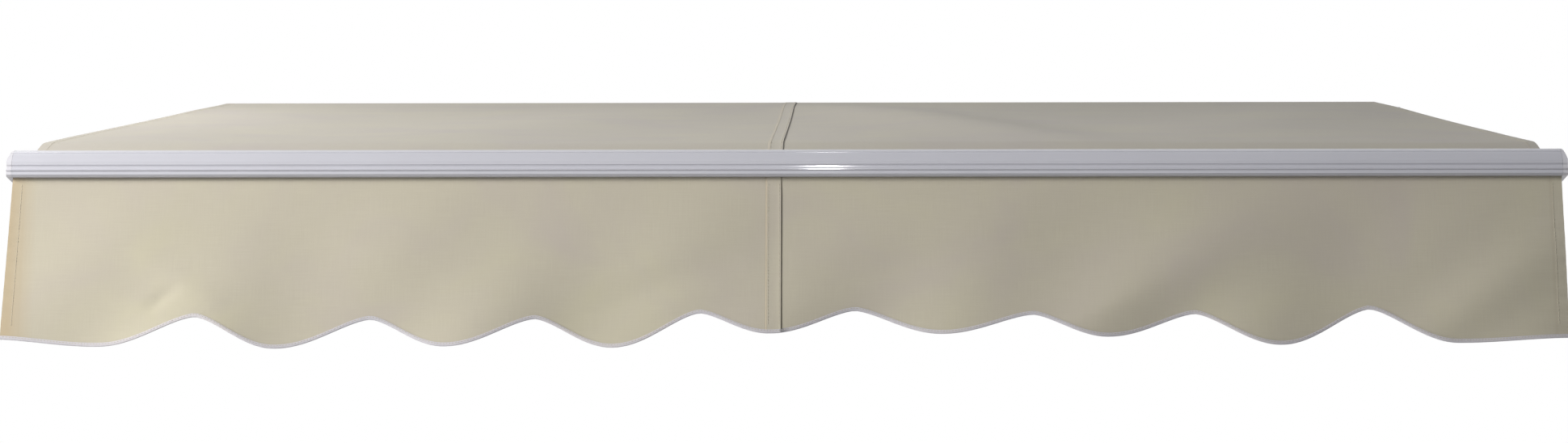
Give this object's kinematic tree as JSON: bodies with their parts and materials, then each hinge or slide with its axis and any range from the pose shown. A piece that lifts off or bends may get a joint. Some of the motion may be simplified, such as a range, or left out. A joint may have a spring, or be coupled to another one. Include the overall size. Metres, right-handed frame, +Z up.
{
  "type": "window awning",
  "caption": "Retractable wall awning: folding arms, a cloth on a geared roller, a white front bar and a scalloped beige valance.",
  "frame": {"origin": "on the wall plane, at mid width and at the height of the torsion bar's centre", "axes": "+X along the wall to the gearbox end, -Y out from the wall, +Z up"},
  "size_m": [2.4793, 2.0136, 0.8338],
  "materials": {
    "white_steel": "white powder coat on steel",
    "white_aluminium": "white powder coat on extruded aluminium",
    "white_casting": "white powder coat on cast aluminium",
    "galvanised_steel": "galvanised",
    "zinc_plate": "zinc plated",
    "white_plastic": "moulded, satin",
    "black_nylon": "moulded, matte",
    "beige_cloth": "coated woven polyester",
    "white_tape": "woven binding tape and cord"
  },
  "bodies": {
    "frame": {"wall_bracket_left": "white_steel", "wall_bracket_right": "white_steel", "torsion_bar": "white_steel", "bar_plug_left": "white_plastic", "bar_plug_right": "white_plastic", "roller_bracket_left": "white_steel", "roller_bracket_right": "white_steel", "roller_bush_left": "black_nylon", "gearbox_housing": "white_plastic", "gearbox_cover": "white_plastic", "left_shoulder_clamp": "white_casting", "left_clamp_plate": "zinc_plate", "left_pitch_pin": "zinc_plate", "right_shoulder_clamp": "white_casting", "right_clamp_plate": "zinc_plate", "right_pitch_pin": "zinc_plate"},
    "roller": {"roller_tube": "galvanised_steel", "roller_end_left": "white_casting", "roller_end_right": "white_casting", "worm_wheel": "zinc_plate", "rear_keder": "white_tape", "cloth_roll": "beige_cloth"},
    "crank": {"worm_shaft": "zinc_plate"},
    "front": {"front_bar": "white_aluminium", "front_bar_cap_left": "white_plastic", "front_bar_cap_right": "white_plastic", "left_front_bracket": "white_casting", "right_front_bracket": "white_casting", "valance_keder": "white_tape", "valance": "beige_cloth", "valance_binding": "white_tape"},
    "canopy_sheet": {"canopy": "beige_cloth", "front_keder": "white_tape"},
    "left_knuckle": {"left_shoulder_knuckle": "white_casting", "left_shoulder_pin": "zinc_plate"},
    "left_upper": {"left_upper_arm": "white_aluminium", "left_upper_arm_root": "white_casting", "left_elbow_fork": "white_casting", "left_elbow_pin": "zinc_plate", "left_arm_spring": "galvanised_steel", "left_arm_cable": "galvanised_steel"},
    "left_lower": {"left_elbow_tongue": "white_casting", "left_forearm": "white_aluminium", "left_wrist_fork": "white_casting", "left_wrist_pin": "zinc_plate"},
    "left_wrist": {"left_wrist_block": "white_casting"},
    "right_knuckle": {"right_shoulder_knuckle": "white_casting", "right_shoulder_pin": "zinc_plate"},
    "right_upper": {"right_upper_arm": "white_aluminium", "right_upper_arm_root": "white_casting", "right_elbow_fork": "white_casting", "right_elbow_pin": "zinc_plate", "right_arm_spring": "galvanised_steel", "right_arm_cable": "galvanised_steel"},
    "right_lower": {"right_elbow_tongue": "white_casting", "right_forearm": "white_aluminium", "right_wrist_fork": "white_casting", "right_wrist_pin": "zinc_plate"},
    "right_wrist": {"right_wrist_block": "white_casting"}
  },
  "joints": [
    {"name": "left_pitch", "type": "hinge", "parent": "frame", "child": "left_knuckle", "pos_m": [-1.06, -0.105, 0], "axis": [1, 0, 0], "range_deg": [-8, 12]},
    {"name": "left_fold", "type": "hinge", "parent": "left_knuckle", "child": "left_upper", "pos_m": [-1.06, -0.14885, -0.01012], "axis": [0, -0.225, 0.9744], "range_deg": [0, 72], "deforming": ["canopy"]},
    {"name": "left_elbow", "type": "hinge", "parent": "left_upper", "child": "left_lower", "pos_m": [-0.83685, -1.02091, -0.21145], "axis": [0, -0.225, 0.9744], "range_deg": [-144, 0]},
    {"name": "left_wrist_turn", "type": "hinge", "parent": "left_lower", "child": "left_wrist", "pos_m": [-1.06, -1.89297, -0.41279], "axis": [0, -0.225, 0.9744], "range_deg": [0, 72]},
    {"name": "right_pitch", "type": "hinge", "parent": "frame", "child": "right_knuckle", "pos_m": [1.06, -0.105, 0], "axis": [1, 0, 0], "range_deg": [-8, 12]},
    {"name": "right_fold", "type": "hinge", "parent": "right_knuckle", "child": "right_upper", "pos_m": [1.06, -0.14885, -0.01012], "axis": [0, -0.225, 0.9744], "range_deg": [-72, 0]},
    {"name": "right_elbow", "type": "hinge", "parent": "right_upper", "child": "right_lower", "pos_m": [0.83685, -1.02091, -0.21145], "axis": [0, -0.225, 0.9744], "range_deg": [0, 144]},
    {"name": "right_wrist_turn", "type": "hinge", "parent": "right_lower", "child": "right_wrist", "pos_m": [1.06, -1.89297, -0.41279], "axis": [0, -0.225, 0.9744], "range_deg": [-72, 0]},
    {"name": "front_level", "type": "hinge", "parent": "left_wrist", "child": "front", "pos_m": [-1.06, -1.93389, -0.42223], "axis": [1, 0, 0], "range_deg": [-12, 8]},
    {"name": "canopy_tilt", "type": "hinge", "parent": "front", "child": "canopy_sheet", "pos_m": [0, -1.96789, -0.39723], "axis": [1, 0, 0], "range_deg": [-7.7, 11.6]},
    {"name": "roller_spin", "type": "hinge", "parent": "frame", "child": "roller", "pos_m": [0, -0.08, 0.095], "axis": [1, 0, 0], "range_deg": [-2520, 0]},
    {"name": "crank_spin", "type": "hinge", "parent": "frame", "child": "crank", "pos_m": [1.236, -0.1045, 0.095], "axis": [0, 0, 1], "range_deg": [-27720, 0]}
  ],
  "couplings": [
    {"joint": "left_elbow", "follows": "left_fold", "ratio": -2},
    {"joint": "left_wrist_turn", "follows": "left_fold", "ratio": 1},
    {"joint": "right_pitch", "follows": "left_pitch", "ratio": 1},
    {"joint": "right_fold", "follows": "left_fold", "ratio": -1},
    {"joint": "right_elbow", "follows": "left_fold", "ratio": 2},
    {"joint": "right_wrist_turn", "follows": "left_fold", "ratio": -1},
    {"joint": "front_level", "follows": "left_pitch", "ratio": -1},
    {"joint": "canopy_tilt", "follows": "left_pitch", "ratio": 0.96},
    {"joint": "roller_spin", "follows": "left_fold", "ratio": -35},
    {"joint": "crank_spin", "follows": "left_fold", "ratio": -385}
  ]
}
